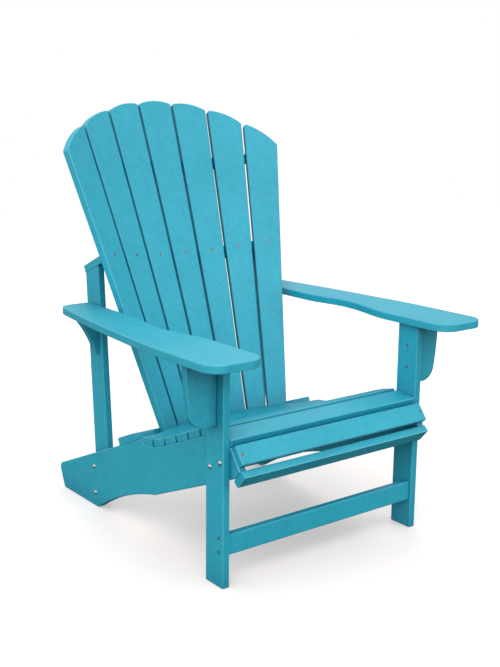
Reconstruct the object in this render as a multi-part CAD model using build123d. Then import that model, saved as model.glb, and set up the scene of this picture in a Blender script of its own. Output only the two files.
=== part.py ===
"""Adirondack chair in moulded-lumber boards, one solid per board.

X runs left to right, Y runs front to rear, Z is up. The chair is first laid out
with Y = 0 on the front face of the front legs, then moved so that the origin is
the middle of its footprint on the floor. All sizes are millimetres and degrees.
"""
import os
from math import asin, cos, degrees, radians, sin, sqrt, tan

from build123d import *

# ---------------------------------------------------------------- driving sizes
BOARD = 19.0            # thickness of every board
EDGE_R = 2.5            # rounding of the board edges
SEAT_WIDTH = 574.0      # over the outer faces of the two side rails
LEG_WIDTH = 66.0        # front legs and rear uprights
SEAT_HEIGHT = 338.7     # floor to the crest of the side rails
ARM_HEIGHT = 551.0      # floor to the top of the arms
RAIL_DEPTH = 141.5      # side rail board, square to its length
RAIL_SLOPE = 23.2       # fall of the side rails toward the rear
NOSE_LENGTH = 57.0      # slanted front edge of a side rail, behind the upper apron
FOOT_LENGTH = 185.0     # flat under the rear end of a side rail
SEAT_PITCH = 53.6       # step from one seat slat to the next
SEAT_GAP = 7.5
FRONT_SLAT = 62.7       # rail flat under the front seat slat
LAST_RUN = 54.5         # rail flat under the rear seat slat
REAR_SEAT_REACH = 126.0 # start of the rear seat slat to the back's front face
SEAT_SLOPES = (9.2, -14.0, -23.0, -23.0, -23.0, -20.0, -7.5)
BACK_TILT = 20.4        # lean of the middle back slat
BACK_SLATS = 7
BACK_GAP = 7.0
FAN_REACH = 1098.0      # virtual apex of the fan to the seat, along the middle slat
FAN_CONE = 22.75        # half angle of the cone the back slats lie on
BACK_HEIGHT = 866.0     # seat to the crown's base line, along the middle slat
CROWN_R = 650.0         # radius of the crown as a whole
CROWN_ARCH = 8.5        # rise of each slat's own arch
CROWN_CORNER = 7.0      # rounding of the top corners of a back slat
MID_BRACE_UP = 446.0    # seat to the middle brace, along the middle slat
MID_BRACE_SLOPE = 24.0
TOP_BRACE_DROP = 168.0  # crown's base line down to the upper brace
TOP_BRACE_DEPTH = 62.0
TOP_BRACE_END_R = 20.0
UPRIGHT_LEAN = 3.55
UPRIGHT_SET = 45.0      # middle brace's screw line down to the uprights' centre
ARM_OVERHANG = 106.0    # arms ahead of the front legs
ARM_CORNER = 43.0       # rounding of the arms' front corners
STRETCHER_Y = 6.0
STRETCHER_Z = 75.0
STRETCHER_HEIGHT = 49.0
CREST_SET = 5.0         # crest of the side rails, ahead of the legs' rear edge
TAIL_R, TOE_R, NOTCH_R = 16.0, 10.0, 9.0    # corners of a side rail
APRON_SHORT = 1.5       # aprons stop short of the rails' outer faces
UPPER_APRON, LOWER_APRON = 47.0, 37.0       # depths of the aprons down the nose
FRONT_DROP = 155.5      # front arm bracket, down the leg from the arm
REAR_DROP = 113.0       # rear arm bracket, down the upright from the arm
CLEAR = 0.5             # running gap between boards that only pass each other
BACK_CLEAR = 3.0        # rear seat slat to the back slats
BOLT_D = 6.0
BOLT_HEAD_D = 13.0
SCREW_D = 4.0
SCREW_HEAD_D = 7.6
HOLE_CLEAR = 0.2        # radial room round every shank
FAR = 2000.0            # cutting blocks reach this far

# --------------------------------------------------------------- derived across X
RAIL_OUT = SEAT_WIDTH / 2
RAIL_IN = RAIL_OUT - BOARD
RAIL_MID = RAIL_OUT - BOARD / 2
UPRIGHT_IN = RAIL_IN - BOARD
LEG_OUT = RAIL_OUT + BOARD
ARM_UNDER = ARM_HEIGHT - BOARD


# ------------------------------------------------------------- side-view geometry
def go(point, angle, run):
    """Point in (y, z) reached from another one at an angle above the horizontal."""
    return (point[0] + run * cos(radians(angle)), point[1] + run * sin(radians(angle)))


def meet(p, p_angle, q, q_angle):
    """Crossing of two side-view lines, each given by a point and an angle."""
    py, pz = cos(radians(p_angle)), sin(radians(p_angle))
    qy, qz = cos(radians(q_angle)), sin(radians(q_angle))
    run = ((q[0] - p[0]) * qz - (q[1] - p[1]) * qy) / (py * qz - pz * qy)
    return (p[0] + run * py, p[1] + run * pz)


CREST = (LEG_WIDTH - CREST_SET, SEAT_HEIGHT)
SEAT_START = go(CREST, SEAT_SLOPES[0], -FRONT_SLAT)
NOSE_UP, NOSE_DOWN = 53.0, -48.6
NOSE = go(SEAT_START, NOSE_UP, -NOSE_LENGTH)
SEAT_POINTS = [SEAT_START, CREST]
for seat_slope in SEAT_SLOPES[1:-1]:
    SEAT_POINTS.append(go(SEAT_POINTS[-1], seat_slope, SEAT_PITCH))
SEAT_END = SEAT_POINTS[-1]
LAST_SLOPE = SEAT_SLOPES[-1]
NOTCH = go(SEAT_END, LAST_SLOPE, LAST_RUN)
LIP = go(NOTCH, LAST_SLOPE + 90, BOARD * 0.75)
BACK_FOOT = go(go(SEAT_END, LAST_SLOPE, REAR_SEAT_REACH), LAST_SLOPE + 90, BOARD)

UNDER = go(LIP, -RAIL_SLOPE - 90, RAIL_DEPTH)
HEEL = meet(UNDER, -RAIL_SLOPE, (0, 0), 0)
TOE = (HEEL[0] + FOOT_LENGTH, 0.0)
TAIL = meet(TOE, 90 - RAIL_SLOPE, LIP, -RAIL_SLOPE)
THROAT = meet(NOSE, NOSE_DOWN, UNDER, -RAIL_SLOPE)

# --------------------------------------------------------------- fan of the back
APEX = go(BACK_FOOT, 90 - BACK_TILT, -FAN_REACH)
FAN = Plane(
    origin=(0, APEX[0], APEX[1]),
    x_dir=(1, 0, 0),
    z_dir=(0, sin(radians(BACK_TILT - FAN_CONE)), cos(radians(BACK_TILT - FAN_CONE))),
).location
MID_BRACE_R = FAN_REACH + MID_BRACE_UP
CROWN_BASE = FAN_REACH + BACK_HEIGHT
TOP_BRACE_R = CROWN_BASE - TOP_BRACE_DROP
SIDE_SLATS = BACK_SLATS // 2
OUTER_X = UPRIGHT_IN - 0.3 * BOARD
FAN_STEP = degrees(asin(OUTER_X / (MID_BRACE_R * sin(radians(FAN_CONE))))) / SIDE_SLATS
HALF_TAPER = sin(radians(FAN_CONE)) * tan(radians(FAN_STEP / 2))


def slat_frame(k):
    """Frame of back slat k: X across it, Y up along it from the apex, Z to the sitter."""
    return FAN * Rot(0, 0, -k * FAN_STEP) * Rot(90 - FAN_CONE, 0, 0)


def fan_core(offset):
    """Everything ahead of the back, out to a distance behind the slats' front faces."""
    core = None
    for k in range(-SIDE_SLATS, SIDE_SLATS + 1):
        side = slat_frame(k) * Pos(0, FAR / 2, FAR / 2 - offset) * Box(2 * FAR, 1.2 * FAR, FAR)
        core = side if core is None else core & side
    return core


def fan_cone(offset):
    """The smooth cone through the slats' front faces, grown by a distance."""
    low, high = FAN_REACH * 0.7, FAR * 1.2
    slant = tan(radians(FAN_CONE))
    cone = Cone(low * slant, high * slant, high - low)
    return FAN * Pos(0, 0, (low + high) / 2 - offset / sin(radians(FAN_CONE))) * cone


def side_frame(point, slope):
    """Frame with X across the chair, Y rearward down a side-view slope, Z square to it."""
    z_dir = (0, -sin(radians(slope)), cos(radians(slope)))
    return Plane(origin=(0, point[0], point[1]), x_dir=(1, 0, 0), z_dir=z_dir).location


# -------------------------------------------------------------------- board tools
def side_board(outline, x_in, thickness=BOARD):
    """Board standing fore and aft: a face in (y, z), its inner face at x_in."""
    face = Plane.YZ.offset(x_in) * outline
    return extrude(face, thickness)


def rounded(board, edges=None):
    """Round the given edges, or all of them."""
    return fillet(board.edges() if edges is None else edges, EDGE_R)


def face_loops(board, axis):
    """Edges lying in the two end faces of a board along an axis."""
    faces = board.faces().sort_by(axis)
    return faces[0].edges() + faces[-1].edges()


def block(width, y0, y1, z0, z1):
    """Box centred on X between two limits in Y and in Z."""
    return Pos(0, (y0 + y1) / 2, (z0 + z1) / 2) * Box(width, y1 - y0, z1 - z0)


def round_corner(face, point, radius):
    """Round the corner of a flat outline that is nearest to a point."""
    corner = face.vertices().sort_by_distance((point[0], point[1], 0))[0]
    return fillet(corner, radius)


def flipped(board):
    """The same board for the other side of the chair."""
    return mirror(board, about=Plane.YZ)


boards = {}


def add_pair(name, board):
    """Keep a right-hand board and its left-hand twin."""
    boards[name + "_right"] = board
    boards[name + "_left"] = flipped(board)


# ------------------------------------------------------------- front legs and rails
leg = Pos((RAIL_OUT + LEG_OUT) / 2, LEG_WIDTH / 2, ARM_UNDER / 2) * Box(BOARD, LEG_WIDTH, ARM_UNDER)
add_pair("front_leg", rounded(leg))

ARCH_REAR = go(HEEL, 180 - RAIL_SLOPE, 0.09 * RAIL_DEPTH)
ARCH_FRONT = go(HEEL, 180 - RAIL_SLOPE, 2.2 * RAIL_DEPTH)
ARCH_TOP = go(go(HEEL, 180 - RAIL_SLOPE, 1.145 * RAIL_DEPTH), 90 - RAIL_SLOPE, 0.09 * RAIL_DEPTH)
rail_points = [ARCH_FRONT, THROAT, NOSE, SEAT_START]
for index, point in enumerate(SEAT_POINTS[1:]):
    if SEAT_SLOPES[index] != SEAT_SLOPES[index + 1]:
        rail_points.append(point)
rail_points += [NOTCH, LIP, TAIL, TOE, HEEL, ARCH_REAR]
rail_face = make_face(Polyline(*rail_points) + ThreePointArc(ARCH_REAR, ARCH_TOP, ARCH_FRONT))
for corner, radius in ((TAIL, TAIL_R), (TOE, TOE_R), (NOTCH, NOTCH_R)):
    rail_face = round_corner(rail_face, corner, radius)
rail = side_board(rail_face, RAIL_IN)
add_pair("side_rail", rounded(rail, face_loops(rail, Axis.X)))

# ----------------------------------------------------------- rear uprights and braces
BRACE_SCREW = go(APEX, 90 - BACK_TILT, MID_BRACE_R)
mid_frame = side_frame(BRACE_SCREW, -MID_BRACE_SLOPE)
BRACE_UNDER = go(BRACE_SCREW, -MID_BRACE_SLOPE - 90, BOARD / 2)
UPRIGHT_TOP = go(BRACE_UNDER, -MID_BRACE_SLOPE, UPRIGHT_SET)
UPRIGHT_DIR = 90 - UPRIGHT_LEAN
REAR_EDGE = go(UPRIGHT_TOP, -UPRIGHT_LEAN, LEG_WIDTH / 2)
FRONT_EDGE = go(UPRIGHT_TOP, -UPRIGHT_LEAN, -LEG_WIDTH / 2)
REAR_TOP = meet(REAR_EDGE, UPRIGHT_DIR, BRACE_UNDER, -MID_BRACE_SLOPE)
FRONT_TOP = meet(FRONT_EDGE, UPRIGHT_DIR, BRACE_UNDER, -MID_BRACE_SLOPE)
RAIL_CROSS = meet(UPRIGHT_TOP, UPRIGHT_DIR, LIP, -RAIL_SLOPE)
UPRIGHT_FOOT = go(RAIL_CROSS, UPRIGHT_DIR, -0.9 * RAIL_DEPTH)
upright_face = make_face(
    Polyline(
        REAR_TOP,
        FRONT_TOP,
        go(UPRIGHT_FOOT, -UPRIGHT_LEAN, -LEG_WIDTH / 2),
        go(UPRIGHT_FOOT, -UPRIGHT_LEAN, LEG_WIDTH / 2),
        REAR_TOP,
    )
)
upright = side_board(upright_face, UPRIGHT_IN)
add_pair("rear_upright", rounded(upright))


def upright_y(z):
    """Centre of a rear upright at a height."""
    return meet(UPRIGHT_TOP, UPRIGHT_DIR, (0, z), 0)[0]


behind_back = fan_core(BOARD)
MID_REAR = UPRIGHT_SET + LEG_WIDTH / 2 * cos(radians(UPRIGHT_LEAN)) / cos(radians(MID_BRACE_SLOPE))
mid_block = block(2 * RAIL_IN, -LEG_WIDTH * 2, MID_REAR, -BOARD / 2, BOARD / 2)
mid_brace = mid_frame * mid_block - behind_back
boards["mid_back_brace"] = rounded(mid_brace, mid_brace.edges().filter_by(Axis.X))

LOW_RUN = 1.65 * BOARD
LOW_DEPTH = 84.0
LOW_START = go(LIP, -RAIL_SLOPE, LOW_RUN)
low_frame = side_frame(LOW_START, -RAIL_SLOPE)
low_brace = low_frame * block(2 * RAIL_OUT, 0, LOW_DEPTH, 0, BOARD) - behind_back
boards["lower_back_brace"] = rounded(low_brace, low_brace.edges().filter_by(Axis.X))

TOP_BRACE_AT = go(APEX, 90 - BACK_TILT, TOP_BRACE_R)
top_frame = side_frame(TOP_BRACE_AT, -BACK_TILT)
OUTER_TOP_X = TOP_BRACE_R * sin(radians(FAN_CONE)) * sin(radians(SIDE_SLATS * FAN_STEP))
TOP_BRACE_X = OUTER_TOP_X - 0.4 * BOARD
top_brace = top_frame * block(2 * TOP_BRACE_X, -FAR / 4, FAR / 4, -BOARD / 2, BOARD / 2)
top_brace = (top_brace & fan_cone(BOARD + TOP_BRACE_DEPTH)) - behind_back
top_brace = top_brace.solids().sort_by(Axis.Y)[-1]
upright_edges = top_brace.edges().filter_by(lambda edge: abs(edge.length - BOARD) < 0.01)
rear_ends = upright_edges.sort_by(Axis.Y)[-2:]
boards["upper_back_brace"] = Part() + fillet(rear_ends, TOP_BRACE_END_R)

# -------------------------------------------------------------------- back slats
for k in range(-SIDE_SLATS, SIDE_SLATS + 1):
    side_r = []
    for edge in (-1, 1):
        reach = 2 * HALF_TAPER * CROWN_BASE * (k + edge / 2)
        side_r.append(CROWN_BASE - CROWN_R + sqrt(CROWN_R**2 - reach**2))
    bottom_r = FAN_REACH - 2.5 * BOARD
    corners = [(edge * (HALF_TAPER * r - BACK_GAP / 2), r) for edge, r in
               ((-1, bottom_r), (1, bottom_r), (1, side_r[1]), (-1, side_r[0]))]
    peak = (0, (side_r[0] + side_r[1]) / 2 + CROWN_ARCH)
    sides = Polyline(corners[3], *corners[:3])
    slat_face = make_face(sides + ThreePointArc(corners[2], peak, corners[3]))
    for corner in corners[2:]:
        slat_face = round_corner(slat_face, corner, CROWN_CORNER)
    slat = extrude(slat_face, -BOARD)
    slat = rounded(slat, face_loops(slat, Axis.Z))
    boards[f"back_slat_{k + SIDE_SLATS + 1}"] = slat_frame(k) * slat

# -------------------------------------------------------------------- seat slats
SLAT_EASE = 0.08 * BOARD    # extra gap ahead of each slat but the last
seat_frames = []
for index, slope in enumerate(SEAT_SLOPES):
    seat_frames.append(side_frame(SEAT_POINTS[index], slope))
seat_runs = [FRONT_SLAT] + [SEAT_PITCH] * (len(SEAT_SLOPES) - 2)
for index, run in enumerate(seat_runs):
    front = SEAT_GAP / 2 if index else 0.0
    slat = block(2 * (RAIL_OUT - CLEAR), front + SLAT_EASE, run - SEAT_GAP / 2, 0, BOARD)
    boards[f"seat_slat_{index + 1}"] = seat_frames[index] * rounded(slat)

# The rear slat is as wide as the others over the rails, and behind the notch only
# its narrower part goes on between the rails, to the hollow of the back.
REAR_SLAT_R = 11.0
straight = block(2 * (RAIL_OUT - CLEAR), SEAT_GAP / 2, LAST_RUN - 4 * CLEAR, 0, BOARD)
lower_rear = straight.edges().filter_by(Axis.X).sort_by(Axis.Z)[:2].sort_by(Axis.Y)[-1]
straight = seat_frames[-1] * fillet(lower_rear, REAR_SLAT_R)
curved = seat_frames[-1] * block(2 * (RAIL_IN - CLEAR), SEAT_GAP / 2, LAST_RUN * 3, 0, BOARD)
rear_slat = straight + (curved & fan_cone(-BACK_CLEAR))
boards[f"seat_slat_{len(SEAT_SLOPES)}"] = rear_slat

# ------------------------------------------------------------------ front boards
APRON_WIDTH = 2 * (RAIL_OUT - APRON_SHORT)
UPPER_OUT = go(SEAT_START, NOSE_UP, -1.3)
upper_apron = side_frame(UPPER_OUT, NOSE_UP) * block(APRON_WIDTH, -UPPER_APRON, 0, 0, BOARD)
boards["front_apron_upper"] = rounded(upper_apron)
lower_apron = side_frame(NOSE, NOSE_DOWN) * block(APRON_WIDTH, -5.0, LOWER_APRON, -BOARD, 0)
boards["front_apron_lower"] = rounded(lower_apron)
stretcher = block(
    2 * RAIL_OUT, STRETCHER_Y, STRETCHER_Y + BOARD, STRETCHER_Z, STRETCHER_Z + STRETCHER_HEIGHT
)
boards["front_stretcher"] = rounded(stretcher, stretcher.edges().filter_by(Axis.X))

# ------------------------------------------------------------------------- arms
ARM_FRONT_Y = -ARM_OVERHANG
ARM_REAR_Y = upright_y(ARM_UNDER) + BOARD * 0.66
ARM_LENGTH = ARM_REAR_Y - ARM_FRONT_Y
ARM_INNER = RAIL_OUT - BOARD
ARM_REAR_IN = RAIL_IN + 8.0
ARM_OUTER = LEG_OUT + 107.0
ARM_REAR_OUT = ARM_OUTER - 52.0
ARM_REAR_R = 36.0


def arm_y(share):
    """Station along the arm as a share of its length."""
    return ARM_FRONT_Y + share * ARM_LENGTH


inner_curve = Spline(
    (ARM_INNER, arm_y(0.27)),
    (ARM_INNER + 12, arm_y(0.375)),
    (ARM_INNER + 27, arm_y(0.53)),
    (ARM_REAR_IN, arm_y(0.70)),
    tangents=[(0, 1), (0, 1)],
)
outer_curve = Spline(
    (ARM_REAR_OUT, ARM_REAR_Y),
    (ARM_OUTER - 37, arm_y(0.855)),
    (ARM_OUTER - 22, arm_y(0.69)),
    (ARM_OUTER - 10, arm_y(0.50)),
    (ARM_OUTER, arm_y(0.28)),
    tangents=[(0.13, -1), (0, -1)],
)
arm_face = make_face(
    Polyline(
        (ARM_INNER, arm_y(0.27)),
        (ARM_INNER, ARM_FRONT_Y),
        (ARM_OUTER, ARM_FRONT_Y),
        (ARM_OUTER, arm_y(0.28)),
    )
    + outer_curve
    + Polyline((ARM_REAR_OUT, ARM_REAR_Y), (ARM_REAR_IN, ARM_REAR_Y), (ARM_REAR_IN, arm_y(0.70)))
    + inner_curve
)
for corner, radius in (
    ((ARM_INNER, ARM_FRONT_Y), ARM_CORNER),
    ((ARM_OUTER, ARM_FRONT_Y), ARM_CORNER),
    ((ARM_REAR_OUT, ARM_REAR_Y), ARM_REAR_R),
    ((ARM_REAR_IN, ARM_REAR_Y), 8.0),
):
    arm_face = round_corner(arm_face, corner, radius)
arm = Pos(0, 0, ARM_UNDER) * extrude(arm_face, BOARD)
add_pair("arm", rounded(arm, face_loops(arm, Axis.Z)))

# --------------------------------------------------------------- arm brackets
BRACKET_Y = LEG_WIDTH / 2
BRACKET_TOP = (LEG_OUT + 80, ARM_UNDER)
BRACKET_BELLY = (LEG_OUT + 77, ARM_UNDER - 0.5 * FRONT_DROP)
BRACKET_TIP = (LEG_OUT + 64, ARM_UNDER - FRONT_DROP)
BRACKET_TIP_R = 38.0
front_bracket_face = make_face(
    Polyline(BRACKET_TOP, (LEG_OUT, ARM_UNDER), (LEG_OUT, ARM_UNDER - FRONT_DROP), BRACKET_TIP)
    + ThreePointArc(BRACKET_TIP, BRACKET_BELLY, BRACKET_TOP)
)
front_bracket_face = round_corner(front_bracket_face, BRACKET_TIP, BRACKET_TIP_R)
front_bracket = extrude(Plane.XZ.offset(-BRACKET_Y - BOARD / 2) * front_bracket_face, BOARD)
add_pair("front_arm_bracket", rounded(front_bracket, face_loops(front_bracket, Axis.Y)))

REAR_BRACKET_Y = upright_y(ARM_UNDER - REAR_DROP / 2) - 0.47 * BOARD
rear_hollow = ThreePointArc(
    (RAIL_IN + 8, ARM_UNDER - REAR_DROP),
    (RAIL_IN + 32, ARM_UNDER - 0.51 * REAR_DROP),
    (RAIL_IN + 75, ARM_UNDER),
)
rear_sides = Polyline(
    rear_hollow @ 1, (RAIL_IN, ARM_UNDER), (RAIL_IN, ARM_UNDER - REAR_DROP), rear_hollow @ 0
)
rear_bracket_face = make_face(rear_sides + rear_hollow)
rear_bracket = extrude(Plane.XZ.offset(-REAR_BRACKET_Y - BOARD / 2) * rear_bracket_face, BOARD)
hollow = rear_bracket.edges().filter_by(GeomType.CIRCLE)
add_pair("rear_arm_bracket", rounded(rear_bracket, hollow))

# -------------------------------------------------------------------- fasteners
BOLT_GRIP = 2 * BOARD
WASHER_T = 1.4
NUT_T = 5.2
BOLT_TAIL = 2.5         # thread beyond the nut
BOLT_DOME = 3.8         # height of the rounded head
WASHER_R = 8.0
NUT_ACROSS = 10.0       # across the flats
SCREW_LONG = 50.0
SCREW_MID = 38.0
SCREW_SHORT = 26.0
BACK_SCREW = 36.0
DRIVE = 2.3             # square recess in a screw's head
screws = {}
cuts = {}


def aimed(point, direction):
    """Location at a point with Z along a direction."""
    return Plane(origin=point, z_dir=direction).location


def cut_from(names, tool):
    """Remember that a tool is to be cut from some boards."""
    for name in names:
        cuts.setdefault(name, []).append(tool)


def screw(group, names, place, length=SCREW_MID, sink=0.6):
    """Countersunk screw whose head lies a little under the surface at a location."""
    head = SCREW_HEAD_D / 2
    shank = SCREW_D / 2
    cone_h = head - shank
    body = Pos(0, 0, sink + cone_h / 2) * Cone(head, shank, cone_h)
    body += Pos(0, 0, (sink + length) / 2) * Cylinder(shank, length - sink)
    body -= Pos(0, 0, sink + 0.6) * Box(DRIVE, DRIVE, 1.8)
    screws.setdefault(group, []).append(place * body)
    wide, slim = head + HOLE_CLEAR, shank + HOLE_CLEAR
    hole = Pos(0, 0, sink + cone_h / 2) * Cone(wide, slim, cone_h)
    hole += Cylinder(wide, 2 * sink)
    hole += Pos(0, 0, (sink + length + 1.0) / 2) * Cylinder(slim, length + 1.0 - sink)
    cut_from(names, place * hole)


def both_sides(group, pair, names, point, direction, **sizes):
    """One screw on each side of the chair; pair boards carry _right and _left."""
    for sign, side in ((1, "_right"), (-1, "_left")):
        there = (sign * point[0], point[1], point[2])
        heading = (sign * direction[0], direction[1], direction[2])
        screw(group, [name + side for name in pair] + names, aimed(there, heading), **sizes)


for index in range(len(SEAT_SLOPES)):
    run = (seat_runs + [LAST_RUN])[index]
    place = seat_frames[index] * Pos(0, run / 2, BOARD)
    for sign, side in ((1, "_right"), (-1, "_left")):
        spot = place * Pos(sign * RAIL_MID, 0, 0) * Rot(180, 0, 0)
        screw("seat_slat_screws", [f"seat_slat_{index + 1}", "side_rail" + side], spot)


def slat_radius(k, frame, z):
    """Distance up slat k at which its back face crosses a plane of a brace."""
    plane = Plane(frame * Pos(0, 0, z))
    start = (slat_frame(k) * Pos(0, 0, -BOARD)).position
    along = (slat_frame(k) * Pos(0, 1, -BOARD)).position - start
    return (plane.origin - start).dot(plane.z_dir) / along.dot(plane.z_dir)


for k in range(-SIDE_SLATS, SIDE_SLATS + 1):
    slat_name = f"back_slat_{k + SIDE_SLATS + 1}"
    for brace_name, frame, z in (
        ("mid_back_brace", mid_frame, 0.0),
        ("lower_back_brace", low_frame, BOARD / 2),
    ):
        place = slat_frame(k) * Pos(0, slat_radius(k, frame, z), 0) * Rot(180, 0, 0)
        screw("back_slat_screws", [slat_name, brace_name], place, length=BACK_SCREW)
    # The outer screws stand inboard, clear of the brace's rounded ends.
    inboard = -34.0 * k / SIDE_SLATS if abs(k) == SIDE_SLATS else 0.0
    place = slat_frame(k) * Pos(inboard, slat_radius(k, top_frame, 0.0), -BOARD - TOP_BRACE_DEPTH)
    screw("upper_brace_screws", [slat_name, "upper_back_brace"], place, length=62.0, sink=16.0)

for share in (0.18, 0.86):
    z = STRETCHER_Z + share * STRETCHER_HEIGHT
    point = (LEG_OUT, STRETCHER_Y + BOARD / 2, z)
    both_sides(
        "stretcher_screws", ["front_leg"], ["front_stretcher"], point, (-1, 0, 0), length=SCREW_LONG
    )
front_pair = ["front_leg", "front_arm_bracket"]
for drop in (57.0, 112.0):
    point = (RAIL_OUT, BRACKET_Y, ARM_UNDER - drop)
    both_sides("bracket_screws", front_pair, [], point, (1, 0, 0), length=SCREW_LONG)
rear_pair = ["rear_upright", "rear_arm_bracket"]
low_spot = rear_hollow @ 0.16
point = (low_spot.X, REAR_BRACKET_Y, low_spot.Y)
both_sides("bracket_screws", rear_pair, [], point, (-1, 0, 0), length=SCREW_SHORT, sink=2.0)
point = (UPRIGHT_IN, REAR_BRACKET_Y, ARM_UNDER - 32.0)
both_sides("bracket_screws", rear_pair, [], point, (1, 0, 0))

for frame, y, z, turn in (
    (side_frame(UPPER_OUT, NOSE_UP), -UPPER_APRON / 2, BOARD, 180),
    (side_frame(NOSE, NOSE_DOWN), (LOWER_APRON - 5.0) / 2, -BOARD, 0),
):
    name = "front_apron_upper" if turn else "front_apron_lower"
    for sign, side in ((1, "_right"), (-1, "_left")):
        place = frame * Pos(sign * RAIL_MID, y, z) * Rot(turn, 0, 0)
        screw("apron_screws", [name, "side_rail" + side], place)

for frame, runs, x, top, brace_name, under in (
    (low_frame, (24.0, 62.0), RAIL_MID, BOARD, "lower_back_brace", "side_rail"),
    (mid_frame, (28.0, 62.0), UPRIGHT_IN + BOARD / 2, BOARD / 2, "mid_back_brace", "rear_upright"),
):
    for run in runs:
        for sign, side in ((1, "_right"), (-1, "_left")):
            place = frame * Pos(sign * x, run, top) * Rot(180, 0, 0)
            screw("brace_screws", [brace_name, under + side], place)

POCKET = 14.0           # depth of the slanted screws' pockets
for x, y, bracket in (
    (LEG_OUT + 22, BRACKET_Y, "front_arm_bracket"),
    (LEG_OUT + 54, BRACKET_Y, "front_arm_bracket"),
    (RAIL_IN + 26, REAR_BRACKET_Y, "rear_arm_bracket"),
):
    point = (x, y + BOARD / 2, ARM_UNDER - 36.0)
    both_sides(
        "arm_screws", [bracket, "arm"], [], point, (0, -0.3, 1), length=SCREW_LONG, sink=POCKET
    )

BOLT_LENGTH = BOLT_GRIP + WASHER_T + NUT_T + BOLT_TAIL
bolt_profile = make_face(
    Polyline(
        (BOLT_HEAD_D / 2, 0),
        (BOLT_D / 2, 0),
        (BOLT_D / 2, BOLT_LENGTH),
        (0, BOLT_LENGTH),
        (0, -BOLT_DOME),
    )
    + ThreePointArc((0, -BOLT_DOME), (0.3 * BOLT_HEAD_D, -0.71 * BOLT_DOME), (BOLT_HEAD_D / 2, 0))
)
bolt = revolve(Plane.XZ * bolt_profile, Axis.Z)
bore = Cylinder(BOLT_D / 2 + HOLE_CLEAR, 400)
washer = Pos(0, 0, BOLT_GRIP + WASHER_T / 2) * Cylinder(WASHER_R, WASHER_T) - bore
nut_face = RegularPolygon(NUT_ACROSS / 2, 6, major_radius=False)
nut = Pos(0, 0, BOLT_GRIP + WASHER_T) * extrude(nut_face, NUT_T) - bore

hardware = {"carriage_bolts": [], "bolt_washers": [], "bolt_nuts": []}
upright_bolts = []
for share in (0.29, 0.80):
    y, z = go(RAIL_CROSS, UPRIGHT_DIR, -share * RAIL_DEPTH)
    upright_bolts.append((y + 9.0, z))
leg_bolts = [(0.77 * LEG_WIDTH, SEAT_HEIGHT - 62.7), (0.20 * LEG_WIDTH, SEAT_HEIGHT - 44.2)]
for x, spots, pair in (
    (LEG_OUT, leg_bolts, ("front_leg", "side_rail")),
    (RAIL_OUT, upright_bolts, ("side_rail", "rear_upright")),
):
    for y, z in spots:
        for sign, side in ((1, "_right"), (-1, "_left")):
            place = aimed((sign * x, y, z), (-sign, 0, 0))
            hardware["carriage_bolts"].append(place * bolt)
            hardware["bolt_washers"].append(place * washer)
            hardware["bolt_nuts"].append(place * nut)
            cut_from([name + side for name in pair], place * Cylinder(BOLT_D / 2 + HOLE_CLEAR, 6 * BOARD))

# ----------------------------------------------------------------------- output
nodes = {}
for name, board in boards.items():
    nodes[name] = board - cuts[name] if name in cuts else board
for name, shapes in {**screws, **hardware}.items():
    nodes[name] = Compound(children=[shape.solids()[0] for shape in shapes])

box = Compound(children=[board.solids()[0] for board in boards.values()]).bounding_box()
to_origin = Pos(0, -(box.min.Y + box.max.Y) / 2, 0)
os.makedirs("parts", exist_ok=True)
for name, shape in nodes.items():
    export_step(to_origin * shape, f"parts/{name}.step")
print(len(nodes), "nodes;", "size", round(box.size.X, 1), round(box.size.Y, 1), round(box.size.Z, 1))
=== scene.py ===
# %% [markdown]
# # A garden chair in coloured plastic boards
# The chair is a low, laid-back armchair bolted and screwed together from flat
# boards. The boards are cut from solid sheet that is the same colour all the way
# through, so nothing on it is painted. Every board already exists as a solid with
# its true size and place. What is left for this lesson is light, a floor, a camera
# and convincing surfaces.

# %% Load the boards
import math

import bmesh
import bpy
from mathutils import Matrix, Vector

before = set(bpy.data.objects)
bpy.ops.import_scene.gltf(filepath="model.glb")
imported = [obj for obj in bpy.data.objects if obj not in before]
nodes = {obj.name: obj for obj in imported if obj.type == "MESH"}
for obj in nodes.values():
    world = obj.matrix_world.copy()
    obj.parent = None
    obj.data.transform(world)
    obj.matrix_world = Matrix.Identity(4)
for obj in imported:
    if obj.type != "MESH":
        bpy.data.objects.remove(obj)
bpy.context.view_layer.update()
scene = bpy.context.scene
MM = 0.001

# %% [markdown]
# ## Two small helpers
# Colours are easiest to write as the six-figure hex codes of a paint chart, but
# shaders add and multiply light, so they need linear numbers. One function does that
# change for every colour here. Another adds a shader node, sets its values and joins
# it up, which keeps a material's recipe readable from top to bottom.


# %% Helpers for colour and nodes
def hex_colour(code):
    """Linear RGBA from a hex colour as it looks on screen."""
    parts = [int(code[i:i + 2], 16) / 255 for i in (1, 3, 5)]
    linear = [c / 12.92 if c <= 0.04045 else ((c + 0.055) / 1.055) ** 2.4 for c in parts]
    return (*linear, 1.0)


def add_node(tree, kind, settings=None, values=None, links=None):
    """Add a node, set its properties and socket values, and link its inputs."""
    node = tree.nodes.new(kind)
    for key, value in (settings or {}).items():
        setattr(node, key, value)
    for key, value in (values or {}).items():
        node.inputs[key].default_value = value
    for key, source in (links or {}).items():
        tree.links.new(source, node.inputs[key])
    return node


print("turquoise in linear light:", [round(c, 3) for c in hex_colour("#189DB5")])

# %% [markdown]
# ## The camera
# The chair is seen from its front left corner, from about the height of a standing
# person's chest, with the lens pointing a little down. The camera is built from a
# turn, a tilt and a slight roll. Its own axes are right, up and backwards, and those
# three vectors are the columns of its matrix.

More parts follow.
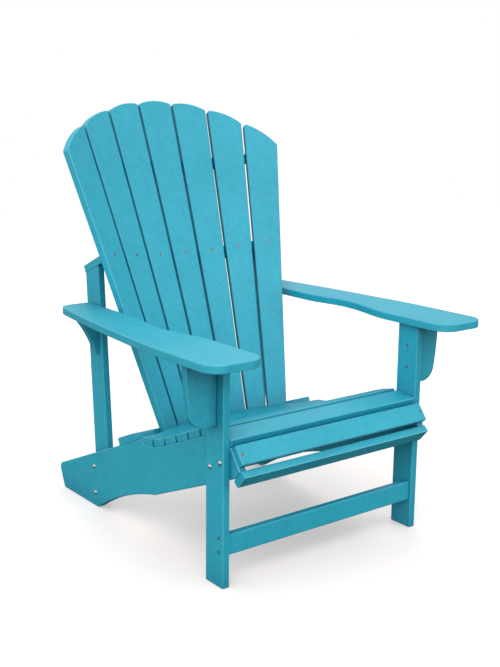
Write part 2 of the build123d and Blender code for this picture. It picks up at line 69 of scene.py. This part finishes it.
# %% Place the camera
TURN, TILT, ROLL = math.radians(37.70), math.radians(-12.60), math.radians(0.60)
STAND = Vector((-1.5973, -2.1095, 1.0762))
look = Vector((math.sin(TURN) * math.cos(TILT), math.cos(TURN) * math.cos(TILT), math.sin(TILT)))
level = Vector((math.cos(TURN), -math.sin(TURN), 0))
upward = level.cross(look)
right = level * math.cos(ROLL) + upward * math.sin(ROLL)
up = upward * math.cos(ROLL) - level * math.sin(ROLL)
camera_data = bpy.data.cameras.new("camera")
camera_data.sensor_fit = "HORIZONTAL"
camera_data.sensor_width = 36.0
camera_data.lens = 76.13
camera_data.clip_end = 50.0
camera = bpy.data.objects.new("camera", camera_data)
camera.matrix_world = Matrix.Translation(STAND) @ Matrix((right, up, -look)).transposed().to_4x4()
scene.collection.objects.link(camera)
scene.camera = camera
print("camera at", [round(c, 3) for c in STAND], "lens", camera_data.lens)

# %% [markdown]
# ## A white floor
# The chair stands on a wide sheet of white paper. The paper glows a little, so that
# it stays white next to the chair and only the contact shadows show on it. It is kept
# out of reflections and bounces, as if black flags stood round the chair, because
# light from a white floor would make the boards pale. That keeps their colour deep.

# %% Floor
FLOOR_SIZE = 14.0
paper = bpy.data.materials.new("white_paper_sweep")
paper.use_nodes = True
paper_shader = paper.node_tree.nodes["Principled BSDF"]
paper_shader.inputs["Base Color"].default_value = hex_colour("#E6DFDC")
paper_shader.inputs["Roughness"].default_value = 0.9
paper_shader.inputs["Specular IOR Level"].default_value = 0.0
paper_shader.inputs["Emission Color"].default_value = hex_colour("#FFFFFF")
paper_shader.inputs["Emission Strength"].default_value = 0.27

sheet = bmesh.new()
bmesh.ops.create_grid(sheet, x_segments=1, y_segments=1, size=FLOOR_SIZE / 2)
floor_mesh = bpy.data.meshes.new("floor")
sheet.to_mesh(floor_mesh)
sheet.free()
floor_mesh.materials.append(paper)
floor = bpy.data.objects.new("floor", floor_mesh)
floor.visible_glossy = False
floor.visible_diffuse = False
scene.collection.objects.link(floor)
print("floor", FLOOR_SIZE, "m square")

# %% [markdown]
# ## Air that is bright in front and dark below
# The light is soft from all round, but not even. A plain white world would light
# every board alike and the chair would look flat. Here the world's strength follows
# the direction that a ray leaves in. It is brightest to the front left, falls to less
# than a third behind, settles to one value overhead, and goes dark below the horizon,
# so that boards which face down or hide under others stay deep. The camera itself
# sees plain white.

# %% The world's light
AIR_BELOW, AIR_FRONT, AIR_BACK, AIR_ABOVE = 0.12, 1.65, 0.42, 1.05
REARWARD = (0.76, 0.65, 0.0)    # level direction from the front left to the rear right
scene.view_settings.view_transform = "Standard"
world = bpy.data.worlds.new("studio")
scene.world = world
world.use_nodes = True
sky = world.node_tree
sky.nodes.clear()
direction = add_node(sky, "ShaderNodeTexCoord").outputs["Generated"]
split = add_node(sky, "ShaderNodeSeparateXYZ", links={"Vector": direction})
rearward = add_node(
    sky, "ShaderNodeVectorMath", {"operation": "DOT_PRODUCT"}, {1: REARWARD}, {0: direction},
)
ring = add_node(
    sky, "ShaderNodeMapRange", {"interpolation_type": "SMOOTHSTEP"},
    {"From Min": -0.20, "From Max": 0.75, "To Min": AIR_FRONT, "To Max": AIR_BACK},
    {"Value": rearward.outputs["Value"]},
)
climb = add_node(
    sky, "ShaderNodeMapRange", {"interpolation_type": "SMOOTHSTEP"},
    {"From Min": 0.20, "From Max": 0.80, "To Max": AIR_ABOVE},
    {"Value": split.outputs["Z"], "To Min": ring.outputs["Result"]},
)
height = add_node(
    sky, "ShaderNodeMapRange", {"interpolation_type": "SMOOTHSTEP"},
    {"From Min": -0.15, "From Max": 0.10, "To Min": AIR_BELOW},
    {"Value": split.outputs["Z"], "To Max": climb.outputs["Result"]},
)
dome = add_node(
    sky, "ShaderNodeBackground", None, {"Color": (1, 1, 1, 1)}, {"Strength": height.outputs["Result"]},
)
white = add_node(sky, "ShaderNodeBackground", None, {"Color": (1, 1, 1, 1), "Strength": 1.0})
ray = add_node(sky, "ShaderNodeLightPath")
choice = add_node(
    sky, "ShaderNodeMixShader",
    links={0: ray.outputs["Is Camera Ray"], 1: dome.outputs[0], 2: white.outputs[0]},
)
add_node(sky, "ShaderNodeOutputWorld", links={"Surface": choice.outputs[0]})
print("air in front", AIR_FRONT, "behind", AIR_BACK, "above", AIR_ABOVE, "below", AIR_BELOW)

# %% [markdown]
# ## Two soft boxes
# A soft box is a lamp behind a large white cloth, which a square area light copies.
# One high at the front left lights the back slats. The other, high behind the chair,
# puts a pale sheen on the arms and the seat, because satin plastic shines most where
# light skims over it towards the eye.


# %% Soft boxes
def soft_box(name, place, target, size, watts):
    """Square area light aimed at a point."""
    data = bpy.data.lights.new(name, "AREA")
    data.shape = "SQUARE"
    data.size = size
    data.energy = watts
    lamp = bpy.data.objects.new(name, data)
    lamp.location = place
    lamp.rotation_euler = (Vector(target) - Vector(place)).to_track_quat("-Z", "Y").to_euler()
    scene.collection.objects.link(lamp)
    print(name, "of", size, "m and", watts, "W")


soft_box("key_soft_box", (-2.4, -2.8, 2.9), (0, 0, 0.5), 2.4, 50)
soft_box("sheen_soft_box", (1.9, 2.5, 3.3), (0, 0, 0.4), 2.2, 30)

# %% [markdown]
# ## Coloured sheet plastic
# The boards are high-density polyethylene (HDPE), a soft, waxy plastic with the
# pigment mixed in, pressed into sheet. The press leaves a fine orange-peel grain on
# the two wide faces. The narrow edges are cut and rounded over with a router, so
# they are smoother and show faint lines that run along the board. The eye reads
# this as a satin surface: an even colour, a broad soft sheen where it is seen at a
# low angle, and a slightly milky line along each rounded edge, which is a painted highlight.
#
# The material must know which faces are wide and which are edges. A board's
# thickness direction is found from its own mesh, as the direction that most of its
# surface faces. Boards that face the same way share one material.

# %% Find which way each board faces
from collections import defaultdict


def board_direction(piece):
    """Unit normal of the widest flat face of a piece."""
    areas = defaultdict(float)
    sums = {}
    for polygon in piece.data.polygons:
        n = polygon.normal
        sign = -1 if (n.z, n.y, n.x) < (0, 0, 0) else 1
        key = tuple(round(sign * c, 2) + 0.0 for c in n)
        areas[key] += polygon.area
        sums[key] = sign * n
    best = max(areas, key=areas.get)
    return sums[best].normalized()


metals = sorted(name for name in nodes if name.endswith("_screws") or name.startswith(("bolt_", "carriage_")))
boards = {name: board_direction(nodes[name]) for name in sorted(nodes) if name not in metals}
print(len(boards), "boards; arm faces", [round(c, 2) for c in boards["arm_left"]])

# %% [markdown]
# ## Wide face or edge
# The cosine between a surface's direction and the board's thickness is 1 on a wide
# face, 0 on an edge, and in between on the rounding that joins them. Its size alone
# therefore tells the three apart. It is read from the mesh's own normal, so it moves
# with the board.


# %% Measure how squarely a surface faces
def facing_share(tree, across):
    """Socket that is 1 on the wide faces of a board and 0 on its edges."""
    normal = add_node(tree, "ShaderNodeTexCoord").outputs["Normal"]
    cosine = add_node(
        tree, "ShaderNodeVectorMath", {"operation": "DOT_PRODUCT"}, {1: tuple(across)}, {0: normal},
    )
    return add_node(
        tree, "ShaderNodeMath", {"operation": "ABSOLUTE"}, None, {0: cosine.outputs["Value"]},
    ).outputs[0]


def wide_mask(tree, facing):
    """Socket that is 1 on a wide face and 0 from the rounding on."""
    return add_node(
        tree, "ShaderNodeMapRange", {"interpolation_type": "SMOOTHSTEP"},
        {"From Min": 0.80, "From Max": 0.99}, {"Value": facing},
    ).outputs["Result"]


print("a rounding's middle has a share of", round(math.cos(math.radians(45)), 2))

# %% [markdown]
# ## Pigment and grain
# Pigment never mixes quite evenly, so the turquoise drifts a little in patches as
# large as a thumb and again from end to end of a board. The pressed grain shows as a
# fine speckle, with a few pale flecks where its tops are rubbed. Real grain is about
# 1 mm across, and it is drawn coarser here so that it shows. All the patterns are
# noise in the chair's own space, each with its scale worked out from a real size.

# %% Colour of the plastic
GRAIN = 3.2 * MM
MOTTLE = 22 * MM
DRIFT = 160 * MM
PIGMENT_LIGHT, PIGMENT_DEEP = "#22A9C0", "#189DB5"
SPECK = 0.13          # the grain's share of lighter and darker
FLECK_SHARE = 0.19


def press_grain(tree, place):
    """Noise of the pressed grain, for colour and for relief."""
    return add_node(
        tree, "ShaderNodeTexNoise", None, {"Scale": 1 / GRAIN, "Detail": 3.0, "Roughness": 0.6},
        {"Vector": place},
    ).outputs["Fac"]


def pigment(tree, place):
    """Turquoise with a patchy, drifting depth."""
    mottle = add_node(
        tree, "ShaderNodeTexNoise", None, {"Scale": 1 / MOTTLE, "Detail": 4.0, "Roughness": 0.55},
        {"Vector": place},
    ).outputs["Fac"]
    drift = add_node(
        tree, "ShaderNodeTexNoise", None, {"Scale": 1 / DRIFT, "Detail": 1.0}, {"Vector": place},
    ).outputs["Fac"]
    patches = add_node(
        tree, "ShaderNodeMath", {"operation": "MULTIPLY_ADD"}, {1: 0.5, 2: 0.0}, {0: mottle},
    ).outputs[0]
    patches = add_node(
        tree, "ShaderNodeMath", {"operation": "MULTIPLY_ADD"}, {1: 0.5}, {0: drift, 2: patches},
    ).outputs[0]
    body = add_node(tree, "ShaderNodeValToRGB", links={"Fac": patches})
    for end, position, code in ((0, 0.32, PIGMENT_DEEP), (1, 0.68, PIGMENT_LIGHT)):
        body.color_ramp.elements[end].position = position
        body.color_ramp.elements[end].color = hex_colour(code)
    return body.outputs["Color"]


def speckled(tree, colour, grain):
    """The colour with the grain's fine speckle and its pale flecks."""
    speck = add_node(
        tree, "ShaderNodeMapRange", None,
        {"From Min": 0.30, "From Max": 0.70, "To Min": 1 - SPECK, "To Max": 1 + SPECK},
        {"Value": grain},
    )
    fine = add_node(
        tree, "ShaderNodeMix", {"data_type": "RGBA", "blend_type": "MULTIPLY"}, {"Factor": 1.0},
        {"A": colour, "B": speck.outputs["Result"]},
    )
    fleck = add_node(
        tree, "ShaderNodeMapRange", None, {"From Min": 0.60, "From Max": 0.78, "To Max": FLECK_SHARE},
        {"Value": grain},
    )
    return add_node(
        tree, "ShaderNodeMix", {"data_type": "RGBA"}, {"B": hex_colour("#ACDDE6")},
        {"Factor": fleck.outputs["Result"], "A": fine.outputs["Result"]},
    ).outputs["Result"]


print("grain", GRAIN, "m, patches", MOTTLE, "m, drift", DRIFT, "m")

# %% [markdown]
# ## Painted edge highlights and painted crevice shade
# A milky line is painted along each rounded edge as a highlight, where the rounding
# would catch the light. The product of the facing share and what it lacks to 1 is largest
# on the rounding and nothing on either side, which makes it a ready mask.
#
# Painted shade darkens the joints and the narrow gaps. Ambient occlusion tells how
# much of the air around a point is open, and where little of it is, the colour is
# multiplied by a dim blue-grey.

# %% Painted edge highlights and painted crevice shade
# The first value is the share of the painted edge highlight; the reach and tint paint shade into joints and
# gaps.
EDGE_HIGHLIGHT_SHARE = 0.28
PAINTED_SHADE_REACH = 90 * MM
PAINTED_SHADE_TINT = "#A6C8D4"    # what the colour is multiplied by where no air is open


def painted_edge_highlight(tree, colour, facing):
    """The colour with a painted highlight, a milky line along the rounded edges."""
    lack = add_node(tree, "ShaderNodeMath", {"operation": "SUBTRACT"}, {0: 1.0}, {1: facing})
    rounding = add_node(
        tree, "ShaderNodeMath", {"operation": "MULTIPLY"}, None, {0: facing, 1: lack.outputs[0]},
    )
    line = add_node(
        tree, "ShaderNodeMapRange", None, {"From Min": 0.06, "From Max": 0.25, "To Max": EDGE_HIGHLIGHT_SHARE},
        {"Value": rounding.outputs[0]},
    )
    return add_node(
        # painted highlight: the rounding is lightened towards a pale turquoise
        tree, "ShaderNodeMix", {"data_type": "RGBA"}, {"B": hex_colour("#86CEDD")},
        {"Factor": line.outputs["Result"], "A": colour},
    ).outputs["Result"]


def painted_crevice_shade(tree, colour):
    """The colour with painted shade darkening its joints and narrow gaps."""
    openness = add_node(
        tree, "ShaderNodeAmbientOcclusion", {"samples": 6}, {"Distance": PAINTED_SHADE_REACH},
    )
    closed = add_node(
        tree, "ShaderNodeMapRange", None,
        {"From Min": 0.25, "From Max": 0.95, "To Min": 1.0, "To Max": 0.0},
        {"Value": openness.outputs["AO"]},
    )
    # painted shade: where little air is open the colour is multiplied by the blue-grey tint
    return add_node(
        tree, "ShaderNodeMix", {"data_type": "RGBA", "blend_type": "MULTIPLY"},
        {"B": hex_colour(PAINTED_SHADE_TINT)}, {"Factor": closed.outputs["Result"], "A": colour},
    ).outputs["Result"]


print("edges", EDGE_HIGHLIGHT_SHARE, "milky, crevices tinted", PAINTED_SHADE_TINT)

# %% [markdown]
# ## Relief and the whole material
# The relief is the grain on the wide faces and the router's faint steps on the
# edges, where a sine wave across the thickness draws lines that run along the board.
# The edges are also a little smoother. Polyethylene's index of refraction is 1.54.

# %% Build the sheet plastic
ROUTER_STEP = 3.0 * MM
ROUTER_DEPTH = 0.12   # next to the grain's depth of 1
RELIEF = 0.9 * MM
EDGE_ROUGHNESS, FACE_ROUGHNESS = 0.40, 0.52
PLASTIC_IOR = 1.54


def relief(tree, place, across, grain, wide):
    """Bumped normal: grain on the wide faces, router lines on the edges."""
    along = add_node(
        tree, "ShaderNodeVectorMath", {"operation": "DOT_PRODUCT"}, {1: tuple(across)}, {0: place},
    )
    lines = add_node(
        tree, "ShaderNodeMath", {"operation": "MULTIPLY"}, {1: 2 * math.pi / ROUTER_STEP},
        {0: along.outputs["Value"]},
    )
    lines = add_node(tree, "ShaderNodeMath", {"operation": "SINE"}, None, {0: lines.outputs[0]})
    lines = add_node(
        tree, "ShaderNodeMath", {"operation": "MULTIPLY"}, {1: ROUTER_DEPTH}, {0: lines.outputs[0]},
    )
    depth = add_node(
        tree, "ShaderNodeMix", {"data_type": "FLOAT"}, None,
        {"Factor": wide, "A": lines.outputs[0], "B": grain},
    )
    return add_node(
        tree, "ShaderNodeBump", None, {"Strength": 1.0, "Distance": RELIEF},
        {"Height": depth.outputs["Result"]},
    ).outputs["Normal"]


def sheet_plastic(name, across):
    """Pigmented HDPE sheet whose wide faces look along a direction."""
    material = bpy.data.materials.new(name)
    material.use_nodes = True
    tree = material.node_tree
    place = add_node(tree, "ShaderNodeTexCoord").outputs["Object"]
    facing = facing_share(tree, across)
    wide = wide_mask(tree, facing)
    grain = press_grain(tree, place)
    colour = speckled(tree, pigment(tree, place), grain)
    # painted highlight on the rounded edges, then painted shade in the joints and gaps
    colour = painted_crevice_shade(tree, painted_edge_highlight(tree, colour, facing))
    rough = add_node(
        tree, "ShaderNodeMapRange", None, {"To Min": EDGE_ROUGHNESS, "To Max": FACE_ROUGHNESS},
        {"Value": wide},
    )
    shader = tree.nodes["Principled BSDF"]
    shader.inputs["IOR"].default_value = PLASTIC_IOR
    tree.links.new(colour, shader.inputs["Base Color"])
    tree.links.new(rough.outputs["Result"], shader.inputs["Roughness"])
    tree.links.new(relief(tree, place, across, grain, wide), shader.inputs["Normal"])
    return material


made = {}
for name, across in boards.items():
    key = tuple(round(c, 2) + 0.0 for c in across)
    if key not in made:
        made[key] = sheet_plastic(f"turquoise_hdpe_{len(made) + 1:02d}", across)
    nodes[name].data.materials.clear()
    nodes[name].data.materials.append(made[key])
print("plastic materials:", len(made))

# %% [markdown]
# ## Zinc and coated steel
# The carriage bolts, washers and nuts are zinc plated: a soft grey shine with a
# faint cloudy bloom. The screws are dull, with a brown-grey weatherproof coat. Both
# are one recipe with other colours and another roughness, driven by one noise.

# %% Build the metals
BLOOM = 2.5 * MM


def plated_steel(name, light, dark, rough_low, rough_high):
    """Steel with a cloudy plated or coated skin."""
    material = bpy.data.materials.new(name)
    material.use_nodes = True
    tree = material.node_tree
    place = add_node(tree, "ShaderNodeTexCoord").outputs["Object"]
    bloom = add_node(
        tree, "ShaderNodeTexNoise", None, {"Scale": 1 / BLOOM, "Detail": 3.0}, {"Vector": place},
    ).outputs["Fac"]
    tone = add_node(tree, "ShaderNodeValToRGB", links={"Fac": bloom})
    tone.color_ramp.elements[0].color = hex_colour(dark)
    tone.color_ramp.elements[1].color = hex_colour(light)
    rough = add_node(
        tree, "ShaderNodeMapRange", None, {"To Min": rough_low, "To Max": rough_high}, {"Value": bloom},
    )
    bump = add_node(
        tree, "ShaderNodeBump", None, {"Strength": 0.2, "Distance": 0.05 * MM}, {"Height": bloom},
    )
    shader = tree.nodes["Principled BSDF"]
    shader.inputs["Metallic"].default_value = 1.0
    tree.links.new(tone.outputs["Color"], shader.inputs["Base Color"])
    tree.links.new(rough.outputs["Result"], shader.inputs["Roughness"])
    tree.links.new(bump.outputs["Normal"], shader.inputs["Normal"])
    return material


zinc = plated_steel("zinc_plated_steel", "#C9CBCD", "#A3A5A8", 0.28, 0.45)
coated = plated_steel("coated_screw_steel", "#A09C95", "#7A766F", 0.45, 0.6)
for name in metals:
    nodes[name].data.materials.clear()
    nodes[name].data.materials.append(coated if name.endswith("_screws") else zinc)
print("metal groups:", metals)
